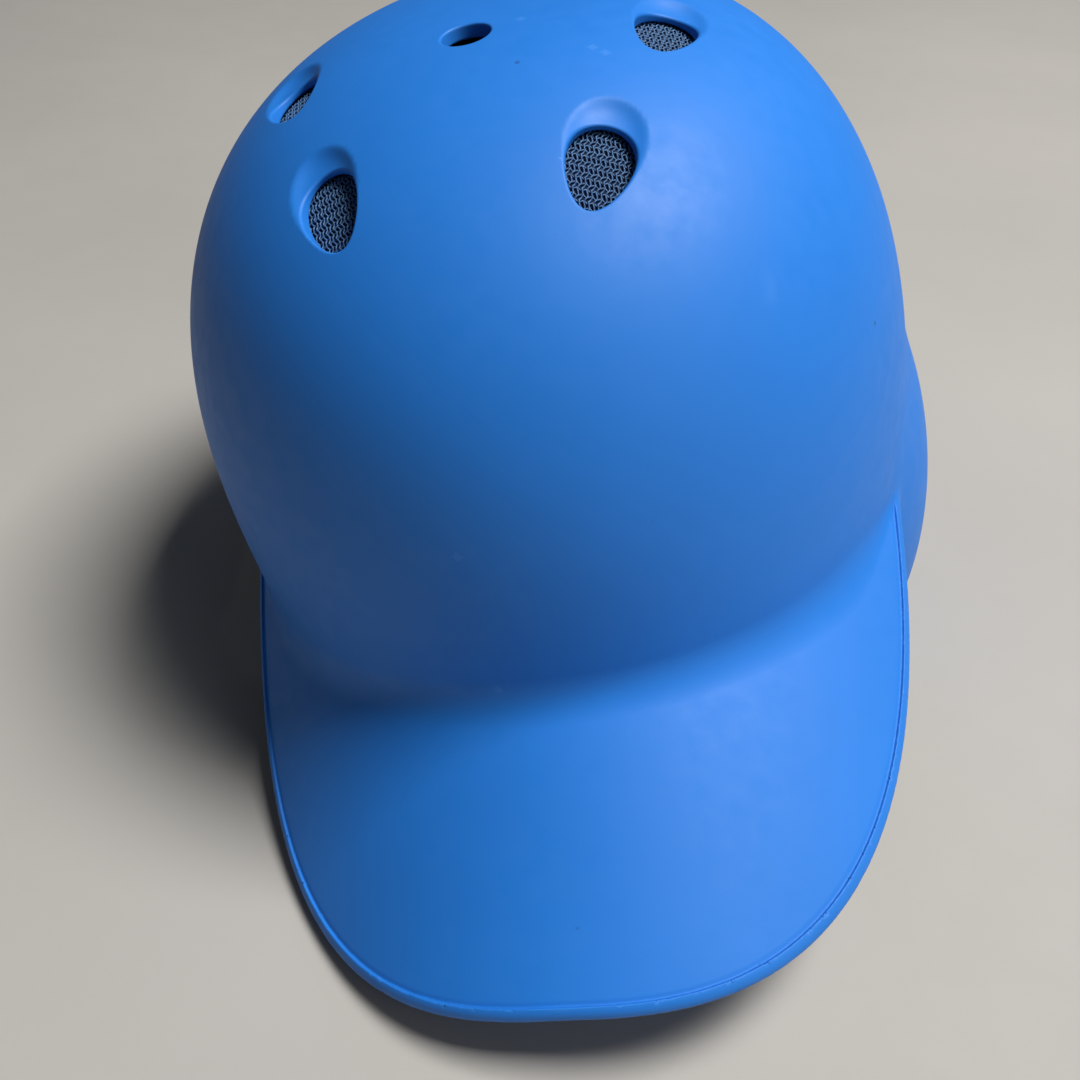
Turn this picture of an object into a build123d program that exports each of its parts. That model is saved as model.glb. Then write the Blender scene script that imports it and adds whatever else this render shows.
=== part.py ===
from build123d import *

import os
from math import cos, degrees, radians, sin, sqrt

# Batting helmet for a right-handed batter, adult size, in millimetres.
#
# Every piece is first drawn as the helmet is worn: the brim points along -Y, the wearer's
# left is +X and the crown is up. Height 0 is the brow, where the brim leaves the dome.
# At the end all pieces are laid down together, the way the helmet rests on a floor:
# on the lower edge of its ear flap, on its nape and on the right-hand corner of its brim.

# ---- dome: an egg whose upright sections are superellipses ----
HALF_WIDTH = 98.0
FRONT_LENGTH = 112.0
REAR_LENGTH = 118.0
WIDEST_HEIGHT = 16.6
CROWN_RISE = 109.0
CROWN_POWER = 2.47
EGG_BOTTOM = -71.4
WALL = 3.5

# ---- brim: an arched sheet that slopes down ahead of the brow, with a raised lip ----
BRIM_HALF_WIDTH = 90.3
BRIM_TIP = 170.5
BRIM_ROOT = 27.3
BRIM_POWER = 2.455
BRIM_SLOPE = 31.6
BRIM_ARCH = 0.0055
BRIM_THICKNESS = 4.0
BROW_HEIGHT = 2.2
LIP_WIDTH = 2.2
LIP_RISE = 0.9

# ---- ear flap: part of an ellipsoid that bulges out of the wearer's left side ----
FLAP_CENTRE = (56.0, 0.0, -18.0)
FLAP_RADII = (48.5, 66.0, 82.0)
FLAP_INNER_X = 70.0
FLAP_TOP_FRONT = (-60.0, 20.0)
FLAP_BOTTOM_FRONT = -32.0
FLAP_BOTTOM_REAR = 39.0
FLAP_BOTTOM = -78.0
FLAP_MEETS_NAPE = 61.0
FLAP_CORNERS = (20.0, 26.0, 20.0, 18.0)
EAR_HOLE_CENTRE = (6.0, -34.0)
EAR_HOLE_RADIUS = 15.0

# ---- lower rim on the side without a flap ----
RIM_OVER_EAR = 5.0
RIM_DROPS_FROM = 34.0
RIM_DROPS_TO = 66.0
RIM_CORNERS = (4.0, 22.0, 22.0)
NAPE_HEIGHT = -47.0

# ---- vents: place on the dome (x, y) and the turn of the long axis away from +Y ----
VENT_PLACES = {
    "front": (29.0, -65.3, -6.0),
    "middle": (44.5, -19.5, -12.0),
    "rear": (31.0, 62.0, 202.0),
}
VENT_WIDE_RADIUS = 7.1
VENT_NARROW_RADIUS = 4.7
VENT_SPREAD = 10.4
SCOOP_RADIUS = 22.0
SCOOP_DEPTH = 2.2
SCOOP_SHIFT = 6.0
CENTRE_HOLE_Y = -21.0
CENTRE_HOLE_RADIUS = 5.8

# ---- lining, each layer between two depths below the outer surface ----
SCREEN_LAYER = (3.6, 4.6)
SCREEN_MARGIN = 4.5
FOAM_LAYER = (4.9, 11.5)
DOT_LAYER = (11.6, 12.9)
PAD_LAYER = (13.1, 19.5)
FLAP_FOAM_LAYER = (3.8, 9.3)
EAR_PAD_LAYER = (9.6, 17.0)
FOAM_EDGE_LIFT = 3.5
PAD_EDGE_LIFT = 5.5
SEAM = 2.0
CROWN_FOAM_RADII = (62.0, 50.0)
FOAM_SECTORS = {"front": (-62, 62), "left": (62, 118), "rear": (118, 242), "right": (242, 298)}
VENT_WAY_MARGIN = 0.5
EAR_WINDOW_RADII = (20.0, 25.0)

# ---- comfort pads: angle from the brow, height, width, tallness and corner radius ----
SIDE_PADS = {
    "brow_pad": (0, 24, 118, 28, 11),
    "left_temple_pad": (80, 36, 58, 34, 14),
    "right_temple_pad": (-80, 36, 58, 34, 14),
    "nape_pad": (180, -14, 92, 40, 16),
}
CROWN_PAD_Y = 13.0
CROWN_PAD_RADII = (33.0, 26.0)
DOT_RADIUS = 8.0

# ---- how the helmet lies: tipped to the wearer's right and slightly back ----
LEAN = 12.73
PITCH = 1.34

FAR = 260.0
THROUGH = 60.0
SIDES = {"left": 1, "right": -1}


def dome_height(x, y):
    """Height of the dome's outer surface above the point (x, y)."""
    length = FRONT_LENGTH if y < 0 else REAR_LENGTH
    reach = sqrt((x / HALF_WIDTH) ** 2 + (y / length) ** 2)
    return WIDEST_HEIGHT + CROWN_RISE * (1 - reach**CROWN_POWER) ** (1 / CROWN_POWER)


def dome_plane(x, y, turn=0.0):
    """Plane touching the dome above (x, y), its y axis turned from +Y by turn degrees."""
    step = 0.01
    slope_x = (dome_height(x + step, y) - dome_height(x - step, y)) / (2 * step)
    slope_y = (dome_height(x, y + step) - dome_height(x, y - step)) / (2 * step)
    normal = Vector(-slope_x, -slope_y, 1).normalized()
    along = Vector(-sin(radians(turn)), cos(radians(turn)), 0)
    return Plane(origin=(x, y, dome_height(x, y)), x_dir=along.cross(normal), z_dir=normal)


def side_plane(angle, height):
    """Plane touching the dome's side, its angle measured from the brow towards the left."""
    level = (height - WIDEST_HEIGHT) / CROWN_RISE
    reach = (1 - abs(level) ** CROWN_POWER) ** (1 / CROWN_POWER)
    side = sin(radians(angle))
    ahead = cos(radians(angle))
    length = FRONT_LENGTH if ahead > 0 else REAR_LENGTH
    outward = reach ** (CROWN_POWER - 1)
    upward = abs(level) ** (CROWN_POWER - 1) * (1 if level > 0 else -1)
    normal = Vector(outward * side / HALF_WIDTH, -outward * ahead / length, upward / CROWN_RISE)
    origin = (HALF_WIDTH * reach * side, -length * reach * ahead, height)
    return Plane(origin=origin, x_dir=Vector(0, 0, 1).cross(normal), z_dir=normal)


def egg(depth):
    """Solid egg of the dome, its surface the given depth below the outer one."""
    width = HALF_WIDTH - depth
    rise = CROWN_RISE - depth
    points = [(0, WIDEST_HEIGHT + rise)]
    for angle in (78, 64, 50, 36, 22, 9, 0, -9, -22, -34):
        out = width * cos(radians(angle)) ** (2 / CROWN_POWER)
        up = rise * abs(sin(radians(angle))) ** (2 / CROWN_POWER)
        points.append((out, WIDEST_HEIGHT + (up if angle > 0 else -up)))
    halves = []
    for length, keep in ((FRONT_LENGTH, Keep.TOP), (REAR_LENGTH, Keep.BOTTOM)):
        with BuildPart() as half:
            with BuildSketch(Plane.XZ):
                with BuildLine():
                    side = Spline(*points, tangents=((1, 0), (-0.35, -1)))
                    Polyline(side @ 1, ((side @ 1).X - 4, EGG_BOTTOM), (0, EGG_BOTTOM), side @ 0)
                make_face()
            revolve(axis=Axis.Z)
            split(bisect_by=Plane.XZ, keep=keep)
            scale(by=(1, (length - depth) / width, 1))
        halves.append(half.part)
    with BuildPart() as whole:
        add(halves)
    return whole.part


def flap_egg(depth):
    """Outer part of the flap's ellipsoid, its surface the given depth below the outer one."""
    with BuildPart() as bulge:
        Sphere(1)
        scale(by=tuple(radius - depth for radius in FLAP_RADII))
        split(bisect_by=Plane.YZ.offset(FLAP_INNER_X - FLAP_CENTRE[0]), keep=Keep.TOP)
    return Pos(*FLAP_CENTRE) * bulge.part


def brim_slab(rise, drop):
    """Arched, sloping sheet of the brim: rise above its top surface, drop below it."""
    half = FAR / 2
    sag = BRIM_ARCH * half**2
    top = BROW_HEIGHT + rise
    bottom = BROW_HEIGHT - drop
    slope = radians(BRIM_SLOPE)
    with BuildPart() as slab:
        with BuildSketch(Plane.XZ.offset(FRONT_LENGTH)):
            with BuildLine():
                Bezier((-half, top - sag), (0, top + sag), (half, top - sag))
                Line((half, top - sag), (half, bottom - sag))
                Bezier((half, bottom - sag), (0, bottom + sag), (-half, bottom - sag))
                Line((-half, bottom - sag), (-half, top - sag))
            make_face()
        extrude(amount=FAR, both=True, dir=(0, -cos(slope), -sin(slope)))
    return slab.part


def brim_column(inset):
    """Upright column with the brim's plan shape, inset from its edge."""
    points = []
    for angle in range(-90, 91, 15):
        side = sin(radians(angle))
        out = abs(side) ** (2 / BRIM_POWER) * (1 if side > 0 else -1)
        forward = abs(cos(radians(angle))) ** (2 / BRIM_POWER)
        reach = BRIM_ROOT + (BRIM_TIP - inset - BRIM_ROOT) * forward
        points.append(((BRIM_HALF_WIDTH - inset) * out, -reach))
    with BuildPart() as column:
        with BuildSketch():
            with BuildLine():
                edge = Spline(*points, tangents=((0, -1), (0, 1)))
                Line(edge @ 1, edge @ 0)
            make_face()
        extrude(amount=FAR / 2, both=True)
    return column.part


def under_profile(corners, radii, side, lift):
    """Everything below a rim, drawn from the side as (y, z) corners and kept under the brim."""
    nape = NAPE_HEIGHT + lift
    frame_corners = [(FAR, nape), (FAR, -FAR), (-FAR, -FAR), (-FAR, FAR)]
    with BuildPart() as under:
        with BuildSketch(Plane.YZ):
            with BuildLine():
                FilletPolyline(
                    (corners[0][0], FAR),
                    *corners,
                    *frame_corners,
                    close=True,
                    radius=(1, *radii, 1, 1, 1, 1),
                )
            make_face()
        extrude(amount=FAR * side)
        add(brim_slab(lift - BRIM_THICKNESS, FAR), mode=Mode.INTERSECT)
    return under.part


def below_ear_rim(lift, side):
    """Everything under the rim that passes over an ear, the rim moved up by lift."""
    over_ear = RIM_OVER_EAR + lift
    corners = [(-BRIM_ROOT, over_ear), (RIM_DROPS_FROM, over_ear), (RIM_DROPS_TO, NAPE_HEIGHT + lift)]
    return under_profile(corners, RIM_CORNERS, side, lift)


def below_flap(lift):
    """Everything under the rim on the left, where the ear flap hangs down."""
    corners = [
        FLAP_TOP_FRONT,
        (FLAP_BOTTOM_FRONT + lift, FLAP_BOTTOM + lift),
        (FLAP_BOTTOM_REAR - lift, FLAP_BOTTOM + lift),
        (FLAP_MEETS_NAPE, NAPE_HEIGHT + lift),
    ]
    return under_profile(corners, FLAP_CORNERS, SIDES["left"], lift)


def vent_outline(margin):
    """Egg-shaped outline of a vent, its narrow end towards -y, grown by margin."""
    with BuildSketch() as outline:
        with Locations((0, VENT_SPREAD / 3)):
            Circle(VENT_WIDE_RADIUS + margin)
        with Locations((0, -VENT_SPREAD * 2 / 3)):
            Circle(VENT_NARROW_RADIUS + margin)
        make_hull()
    return outline.sketch


def ray(angle):
    """Far point at an angle from the brow towards the left, seen from above."""
    return (FAR * sin(radians(angle)), -FAR * cos(radians(angle)))


def wedge(start, end):
    """Upright wedge of the helmet between two angles, a seam's width narrower."""
    gap = degrees(SEAM / 2 / HALF_WIDTH)
    with BuildPart() as sector:
        with BuildSketch():
            with BuildLine():
                Polyline((0, 0), ray(start + gap), ray((start + end) / 2), ray(end - gap), close=True)
            make_face()
        extrude(amount=FAR, both=True)
    return sector.part


def dome_layer(depths, lift):
    """The dome between two depths, open below, ending lift above the rim over both ears."""
    with BuildPart() as layer:
        add(egg(depths[0]))
        add(egg(depths[1]), mode=Mode.SUBTRACT)
        for side in SIDES.values():
            add(below_ear_rim(lift, side), mode=Mode.SUBTRACT)
    return layer.part


def flap_layer(depths):
    """The flap between two depths, clear of its edge, of the dome's lining and of the ear."""
    with BuildPart() as layer:
        add(flap_egg(depths[0]))
        add(flap_egg(depths[1]), mode=Mode.SUBTRACT)
        add(below_ear_rim(FOAM_EDGE_LIFT - SEAM, SIDES["left"]), mode=Mode.INTERSECT)
        add(below_flap(FOAM_EDGE_LIFT), mode=Mode.SUBTRACT)
        with BuildSketch(Plane.YZ.offset(FLAP_CENTRE[0])):
            with Locations(EAR_HOLE_CENTRE):
                Ellipse(*EAR_WINDOW_RADII)
        extrude(amount=THROUGH, mode=Mode.SUBTRACT)
    return layer.part


pieces = {}
vents = {}
for side_name, side_sign in SIDES.items():
    for place, (vent_x, vent_y, vent_turn) in VENT_PLACES.items():
        vents[f"{side_name}_{place}"] = dome_plane(side_sign * vent_x, vent_y, side_sign * vent_turn)

# ---- shell: one moulding with the dome, the brim, its lip, the ear flap and the vents ----
with BuildPart() as brim:
    add(brim_slab(0, BRIM_THICKNESS))
    add(brim_column(0), mode=Mode.INTERSECT)
with BuildPart() as lip:
    add(brim_slab(LIP_RISE, BRIM_THICKNESS))
    add(brim_column(0), mode=Mode.INTERSECT)
    add(brim_column(LIP_WIDTH), mode=Mode.SUBTRACT)
with BuildPart() as outer_shell:
    add(egg(0))
    add(flap_egg(0))
    add(below_ear_rim(0, SIDES["right"]), mode=Mode.SUBTRACT)
    add(below_flap(0), mode=Mode.SUBTRACT)
    add(brim.part)
    add(lip.part)
    add(egg(WALL), mode=Mode.SUBTRACT)
    add(flap_egg(WALL), mode=Mode.SUBTRACT)
    for vent in vents.values():
        with Locations(vent * Pos(0, SCOOP_SHIFT, SCOOP_RADIUS - SCOOP_DEPTH)):
            Sphere(SCOOP_RADIUS, mode=Mode.SUBTRACT)
        with BuildSketch(vent):
            add(vent_outline(0))
        extrude(amount=THROUGH / 4, both=True, mode=Mode.SUBTRACT)
    with Locations(dome_plane(0, CENTRE_HOLE_Y)):
        Cylinder(CENTRE_HOLE_RADIUS, THROUGH / 4, mode=Mode.SUBTRACT)
    with BuildSketch(Plane.YZ.offset(FLAP_CENTRE[0])):
        with Locations(EAR_HOLE_CENTRE):
            Circle(EAR_HOLE_RADIUS)
    extrude(amount=THROUGH, mode=Mode.SUBTRACT)
pieces["outer_shell"] = outer_shell.part

# ---- knitted mesh screens bonded behind the vents ----
with BuildPart() as screen_layer:
    add(egg(SCREEN_LAYER[0]))
    add(egg(SCREEN_LAYER[1]), mode=Mode.SUBTRACT)
for name, vent in vents.items():
    with BuildPart() as screen:
        with BuildSketch(vent):
            add(vent_outline(SCREEN_MARGIN))
        extrude(amount=THROUGH / 4, both=True)
        add(screen_layer.part, mode=Mode.INTERSECT)
    pieces[f"{name}_vent_screen"] = screen.part

# ---- impact foam bonded inside the shell, in six blocks with ways for the air ----
foam_layer = dome_layer(FOAM_LAYER, FOAM_EDGE_LIFT)
with BuildPart() as crown_column:
    with BuildSketch():
        Ellipse(*CROWN_FOAM_RADII)
    extrude(amount=FAR)
with BuildPart() as wide_crown_column:
    with BuildSketch():
        Ellipse(*(radius + SEAM for radius in CROWN_FOAM_RADII))
    extrude(amount=FAR)
with BuildPart() as vent_ways:
    for vent in vents.values():
        with BuildSketch(vent):
            add(vent_outline(VENT_WAY_MARGIN))
        extrude(amount=THROUGH / 3, both=True)
    with Locations(dome_plane(0, CENTRE_HOLE_Y)):
        Cylinder(CENTRE_HOLE_RADIUS + VENT_WAY_MARGIN, THROUGH)
with BuildPart() as crown_foam:
    add(foam_layer)
    add(crown_column.part, mode=Mode.INTERSECT)
    add(vent_ways.part, mode=Mode.SUBTRACT)
pieces["crown_foam"] = crown_foam.part
for name, (start, end) in FOAM_SECTORS.items():
    with BuildPart() as side_foam:
        add(foam_layer)
        add(wedge(start, end), mode=Mode.INTERSECT)
        add(wide_crown_column.part, mode=Mode.SUBTRACT)
        add(vent_ways.part, mode=Mode.SUBTRACT)
    pieces[f"{name}_foam"] = side_foam.part
pieces["ear_flap_foam"] = flap_layer(FLAP_FOAM_LAYER)

# ---- soft comfort pads and the hook-and-loop dots that hold them ----
pad_layer = dome_layer(PAD_LAYER, PAD_EDGE_LIFT)
dot_places = []
for name, (angle, height, width, tall, corner) in SIDE_PADS.items():
    plane = side_plane(angle, height)
    dot_places.append((plane, width / 4))
    with BuildPart() as pad:
        with BuildSketch(plane):
            RectangleRounded(width, tall, corner)
        extrude(amount=-THROUGH)
        add(pad_layer, mode=Mode.INTERSECT)
    pieces[name] = pad.part
crown_plane = dome_plane(0, CROWN_PAD_Y)
dot_places.append((crown_plane, CROWN_PAD_RADII[0] / 2))
with BuildPart() as crown_pad:
    with BuildSketch(crown_plane):
        Ellipse(*CROWN_PAD_RADII)
    extrude(amount=-THROUGH)
    add(pad_layer, mode=Mode.INTERSECT)
pieces["crown_pad"] = crown_pad.part
pieces["ear_pad"] = flap_layer(EAR_PAD_LAYER)
with BuildPart() as fastener_dots:
    for plane, shift in dot_places:
        with BuildSketch(plane):
            with Locations((-shift, 0), (shift, 0)):
                Circle(DOT_RADIUS)
        extrude(amount=-THROUGH / 2)
    add(dome_layer(DOT_LAYER, FOAM_EDGE_LIFT), mode=Mode.INTERSECT)
pieces["pad_fastener_dots"] = fastener_dots.part

# ---- lay the helmet down, its lowest points on the floor and the origin beneath its middle ----
laid = {name: Rot(PITCH, 0, 0) * Rot(0, -LEAN, 0) * piece for name, piece in pieces.items()}
surface = [point for piece in laid.values() for point in piece.tessellate(0.05, 0.1)[0]]
middle_x = (min(point.X for point in surface) + max(point.X for point in surface)) / 2
middle_y = (min(point.Y for point in surface) + max(point.Y for point in surface)) / 2
to_floor = Pos(-middle_x, -middle_y, -min(point.Z for point in surface))
print("moved by", [round(value, 3) for value in to_floor.position])

os.makedirs("parts", exist_ok=True)
for name, piece in laid.items():
    part = to_floor * piece
    part.label = name
    export_step(part, f"parts/{name}.step")
    print(name, len(part.solids()), round(part.volume), part.is_valid)
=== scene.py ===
from math import cos, pi, radians, sin, tan

import bmesh
import bpy
import numpy as np
from mathutils import Matrix, Vector


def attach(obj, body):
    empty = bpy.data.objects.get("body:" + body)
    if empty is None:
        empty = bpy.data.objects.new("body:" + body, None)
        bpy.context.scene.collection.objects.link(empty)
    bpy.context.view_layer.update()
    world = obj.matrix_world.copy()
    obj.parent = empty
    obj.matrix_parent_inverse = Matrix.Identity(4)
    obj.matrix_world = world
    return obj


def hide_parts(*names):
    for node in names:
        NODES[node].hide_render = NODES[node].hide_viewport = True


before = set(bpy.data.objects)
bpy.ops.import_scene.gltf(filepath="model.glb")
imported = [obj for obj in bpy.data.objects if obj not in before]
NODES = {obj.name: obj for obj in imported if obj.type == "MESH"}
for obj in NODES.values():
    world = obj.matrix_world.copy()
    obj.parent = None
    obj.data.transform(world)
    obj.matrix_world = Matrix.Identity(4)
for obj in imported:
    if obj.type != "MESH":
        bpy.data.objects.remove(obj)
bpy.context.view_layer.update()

# Looks for the batting helmet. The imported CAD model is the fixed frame.
# Shapes are worked out in the worn frame, in millimetres, as in the CAD source: the brim points
# along -Y, the wearer's left is +X, and height 0 is the brow. They are then laid down as the CAD is.

MM = 0.001

# ---- sizes shared with the CAD source, in millimetres and degrees ----
HALF_WIDTH = 98.0
FRONT_LENGTH = 112.0
REAR_LENGTH = 118.0
WIDEST_HEIGHT = 16.6
CROWN_RISE = 109.0
CROWN_POWER = 2.47
WALL = 3.5
BRIM_HALF_WIDTH = 90.3
BRIM_TIP = 170.5
BRIM_ROOT = 27.3
BRIM_POWER = 2.455
BRIM_SLOPE = 31.6
BRIM_ARCH = 0.0055
BRIM_THICKNESS = 4.0
BROW_HEIGHT = 2.2
LIP_RISE = 0.9
FLAP_CENTRE = (56.0, 0.0, -18.0)
FLAP_RADII = (48.5, 66.0, 82.0)
FLAP_INNER_X = 70.0
FLAP_PROFILE = ((-60, 20), (-32, -78), (39, -78), (61, -47))
FLAP_CORNERS = (20, 26, 20, 18)
RIM_PROFILE = ((-27.3, 5), (34, 5), (66, -47))
RIM_CORNERS = (4, 22, 22)
EAR_HOLE_CENTRE = (6.0, -34.0)
EAR_HOLE_RADIUS = 15.0
VENT_PLACES = {"front": (29.0, -65.3, -6.0), "middle": (44.5, -19.5, -12.0), "rear": (31.0, 62.0, 202.0)}
CENTRE_HOLE_Y = -21.0
CENTRE_HOLE_RADIUS = 5.8
PAD_LAYER = (13.1, 19.5)
EAR_PAD_LAYER = (9.6, 17.0)
LEAN = 12.73
PITCH = 1.34
SET_DOWN = (-2.25, 26.0, 58.76)
SIDES = {"left": 1, "right": -1}

# ---- the looks' own vents and scoops, smooth where the CAD has arcs and a ball's cut ----
VENT_HALF_WIDTH = 7.1
VENT_HALF_LENGTH = 11.2
VENT_TAPER = 0.2
SCOOP_HALF_WIDTH = 8.9
SCOOP_HALF_LENGTH = 14.8
SCOOP_SHIFT = 3.6
SCOOP_DEPTH = 2.4
SCOOP_RAMP = 3.0
SCOOP_LIMITS = (12, 17)
SCOOP_LAYER = 12
VENT_REACH = 30
HOLE_REACH = 20
CUT_THROUGH = 15

# ---- the looks' own brim edge: a narrower bead, a groove behind it and a thinner plate ----
LIP_WIDTH = 1.7
BEAD_FALL = (LIP_WIDTH - 0.5, LIP_WIDTH + 0.3)
GROOVE_INSET = LIP_WIDTH + 0.5
GROOVE_WIDTH = 0.4
GROOVE_DEPTH = 0.13
EDGE_THINNING = 1.3
THINNED_OVER = 8.0

# ---- how the moulding softens the CAD's sharp corners ----
CREASE = 6.0
CREASE_AT_EDGE = 1.2
CREASE_GROWS_OVER = 14.0
FLAP_BLEND = 3.0
RIM_ROUND = 1.8
BRIM_EDGE_ROUND = 1.5
VENT_ROUND = 0.7
FLAP_HOLLOW_STEP = 5
FILLET_UNDER_BRIM = 1

# ---- the mesh of the moulding: cell size, cells in a block, and how far a block may be from it ----
GRID = 0.9
BLOCK = 8
BLOCK_REACH = 14.0
SHELL_LOW = (-114, -178, -84)
SHELL_HIGH = (112, 125, 132)
FINE_REACH = 1.6
FINE_CUTS = 2

WORN_TO_LAID = (
    Matrix.Translation([value * MM for value in SET_DOWN])
    @ Matrix.Rotation(radians(PITCH), 4, "X")
    @ Matrix.Rotation(radians(-LEAN), 4, "Y")
)


def laid(points):
    """Worn-frame points in millimetres as laid-frame points in metres."""
    turn = np.array(WORN_TO_LAID.to_3x3())
    return points * MM @ turn.T + np.array(WORN_TO_LAID.translation)


def laid_direction(directions):
    """Worn-frame directions turned into the laid frame."""
    return directions @ np.array(WORN_TO_LAID.to_3x3()).T


def softer_min(a, b, width):
    """Union of two distances, with a fillet about width wide."""
    near = np.maximum(width - np.abs(a - b), 0) / width
    return np.minimum(a, b) - near * near * width / 4


def softer_max(a, b, width):
    """Intersection of two distances, with an edge rounded over about width."""
    near = np.maximum(width - np.abs(a - b), 0) / width
    return np.maximum(a, b) + near * near * width / 4


def ease(value, start, end):
    """Smooth step from 0 at start to 1 at end."""
    t = np.clip((value - start) / (end - start), 0, 1)
    return t * t * (3 - 2 * t)


def dome(x, y, z, depth=0.0):
    """Distance outside the dome's surface, that surface the given depth below the outer one."""
    width = HALF_WIDTH - depth
    rise = CROWN_RISE - depth
    length = np.where(y < 0, FRONT_LENGTH, REAR_LENGTH) - depth
    flat = (x / width) ** 2 + (y / length) ** 2 + 1e-9
    up = (z - WIDEST_HEIGHT) / rise
    total = flat ** (CROWN_POWER / 2) + np.abs(up) ** CROWN_POWER
    size = total ** (1 / CROWN_POWER)
    share = size / total
    outward = share * flat ** (CROWN_POWER / 2 - 1)
    slope_x = outward * x / width**2
    slope_y = outward * y / length**2
    slope_z = share * np.abs(up) ** (CROWN_POWER - 1) / rise
    return (size - 1) / np.sqrt(slope_x**2 + slope_y**2 + slope_z**2)


def flap(x, y, z, depth=0.0):
    """Distance outside the ear flap's ellipsoid, that surface the given depth below the outer one."""
    radii = [radius - depth for radius in FLAP_RADII]
    parts = [(value - centre) / radius for value, centre, radius in zip((x, y, z), FLAP_CENTRE, radii)]
    size = np.sqrt(sum(part**2 for part in parts)) + 1e-6
    slope = np.sqrt(sum((part / radius) ** 2 for part, radius in zip(parts, radii))) / size
    return (size - 1) / np.maximum(slope, 1e-6)


def brim_top(x, y):
    """Height of the brim's upper surface."""
    return BROW_HEIGHT - tan(radians(BRIM_SLOPE)) * (-y - FRONT_LENGTH) - BRIM_ARCH * x * x


def brim_outline(x, y):
    """Distance outside the brim's edge, seen from above."""
    long = BRIM_TIP - BRIM_ROOT
    across = np.abs(x) / BRIM_HALF_WIDTH
    ahead = np.maximum(-y - BRIM_ROOT, 0) / long
    total = across**BRIM_POWER + ahead**BRIM_POWER + 1e-9
    size = total ** (1 / BRIM_POWER)
    slope_x = size / total * across ** (BRIM_POWER - 1) / BRIM_HALF_WIDTH
    slope_y = size / total * ahead ** (BRIM_POWER - 1) / long
    return (size - 1) / np.sqrt(slope_x**2 + slope_y**2 + 1e-12)


def rounded_corners(corners, radii, steps=14):
    """Polyline through the corners, each but the ends replaced by an arc."""
    points = [np.array(corners[0], float)]
    for before, corner, after, radius in zip(corners, corners[1:], corners[2:], radii):
        corner = np.array(corner, float)
        back = np.array(before, float) - corner
        on = np.array(after, float) - corner
        back /= np.linalg.norm(back)
        on /= np.linalg.norm(on)
        half = np.arccos(np.clip(back @ on, -1, 1)) / 2
        middle = (back + on) / np.linalg.norm(back + on)
        centre = corner + middle * radius / sin(half)
        start = corner + back * radius / tan(half) - centre
        end = corner + on * radius / tan(half) - centre
        sweep = pi - 2 * half
        for step in range(steps + 1):
            t = step / steps
            points.append(centre + (sin((1 - t) * sweep) * start + sin(t * sweep) * end) / sin(sweep))
    points.append(np.array(corners[-1], float))
    return np.array(points)


PROFILE_STEP = 0.5
PROFILE_Y = np.arange(-190, 150, PROFILE_STEP)
PROFILE_Z = np.arange(-110, 160, PROFILE_STEP)


def profile_table(corners, radii):
    """Signed distance from a rim drawn from the side, negative below and ahead of the rim."""
    far = 400
    whole = [(corners[0][0], far), *corners, (far, corners[-1][1]), (far, -far), (-far, -far), (-far, far)]
    outline = rounded_corners(whole, [*radii, 1, 1, 1])
    y, z = np.meshgrid(PROFILE_Y, PROFILE_Z, indexing="ij")
    nearest = np.full(y.shape, 1e9)
    inside = np.zeros(y.shape, bool)
    for start, end in zip(outline, np.roll(outline, -1, axis=0)):
        run = end - start
        along = np.clip(((y - start[0]) * run[0] + (z - start[1]) * run[1]) / (run @ run + 1e-12), 0, 1)
        gap = (y - start[0] - along * run[0]) ** 2 + (z - start[1] - along * run[1]) ** 2
        nearest = np.minimum(nearest, gap)
        if start[1] != end[1]:
            crosses = (z >= min(start[1], end[1])) & (z < max(start[1], end[1]))
            inside ^= crosses & (y < start[0] + (z - start[1]) * run[0] / run[1])
    return np.sqrt(nearest) * np.where(inside, -1, 1)


PROFILES = {
    "left": profile_table(FLAP_PROFILE, FLAP_CORNERS),
    "right": profile_table(RIM_PROFILE, RIM_CORNERS),
}


def rim_profile(x, y, z):
    """Distance above the rim seen from the side, from the two tables."""
    across = np.clip((y - PROFILE_Y[0]) / PROFILE_STEP, 0, len(PROFILE_Y) - 1.001)
    up = np.clip((z - PROFILE_Z[0]) / PROFILE_STEP, 0, len(PROFILE_Z) - 1.001)
    i = across.astype(int)
    j = up.astype(int)
    s = across - i
    t = up - j
    found = {}
    for side, table in PROFILES.items():
        low = table[i, j] * (1 - s) + table[i + 1, j] * s
        high = table[i, j + 1] * (1 - s) + table[i + 1, j + 1] * s
        found[side] = low * (1 - t) + high * t
    return np.where(x > 0, found["left"], found["right"])


def dome_height(x, y):
    """Height of the dome's outer surface above (x, y)."""
    length = FRONT_LENGTH if y < 0 else REAR_LENGTH
    reach = ((x / HALF_WIDTH) ** 2 + (y / length) ** 2) ** 0.5
    return WIDEST_HEIGHT + CROWN_RISE * (1 - reach**CROWN_POWER) ** (1 / CROWN_POWER)


def dome_axes(x, y, turn=0.0):
    """Origin and the across, along and outward directions of a plane touching the dome."""
    step = 0.01
    slope_x = (dome_height(x + step, y) - dome_height(x - step, y)) / (2 * step)
    slope_y = (dome_height(x, y + step) - dome_height(x, y - step)) / (2 * step)
    outward = np.array((-slope_x, -slope_y, 1.0))
    outward /= np.linalg.norm(outward)
    along = np.array((-sin(radians(turn)), cos(radians(turn)), 0.0))
    across = np.cross(along, outward)
    across /= np.linalg.norm(across)
    return np.array((x, y, dome_height(x, y))), across, np.cross(outward, across), outward


VENTS = {}
for side_name, side_sign in SIDES.items():
    for place, (vent_x, vent_y, vent_turn) in VENT_PLACES.items():
        VENTS[f"{side_name}_{place}"] = dome_axes(side_sign * vent_x, vent_y, side_sign * vent_turn)
CENTRE_HOLE = dome_axes(0, CENTRE_HOLE_Y)


def in_axes(points, axes):
    """Across, along and outward coordinates of points in a plane's own axes."""
    origin, across, along, outward = axes
    away = points - origin
    return away @ across, away @ along, away @ outward


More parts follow.
